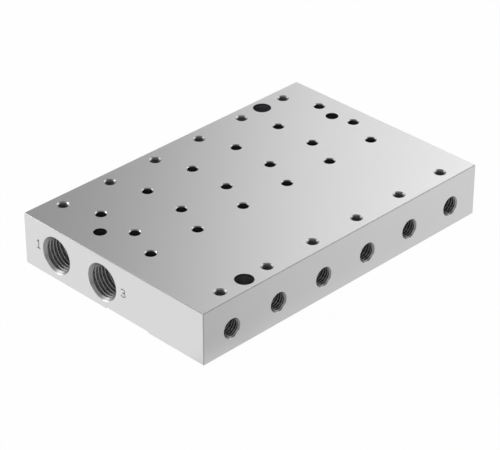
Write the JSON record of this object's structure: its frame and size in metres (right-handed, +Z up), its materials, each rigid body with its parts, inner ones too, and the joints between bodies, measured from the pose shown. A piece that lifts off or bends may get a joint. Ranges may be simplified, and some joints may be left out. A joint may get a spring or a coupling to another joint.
{
  "type": "pneumatic manifold block",
  "caption": "Flat rectangular block that supplies and exhausts a row of pneumatic valves through tapped ports, drilled channels and tapped outlets.",
  "frame": {"origin": "centre of the underside", "axes": "+X along the row of stations from the numbered ports to the far end, +Y from the outlet face to the rear face, +Z up out of the valve face"},
  "size_m": [0.127, 0.0834, 0.019],
  "materials": {
    "block": "milled and clear anodised"
  },
  "bodies": {
    "root": {"manifold_block": "block"}
  },
  "joints": []
}
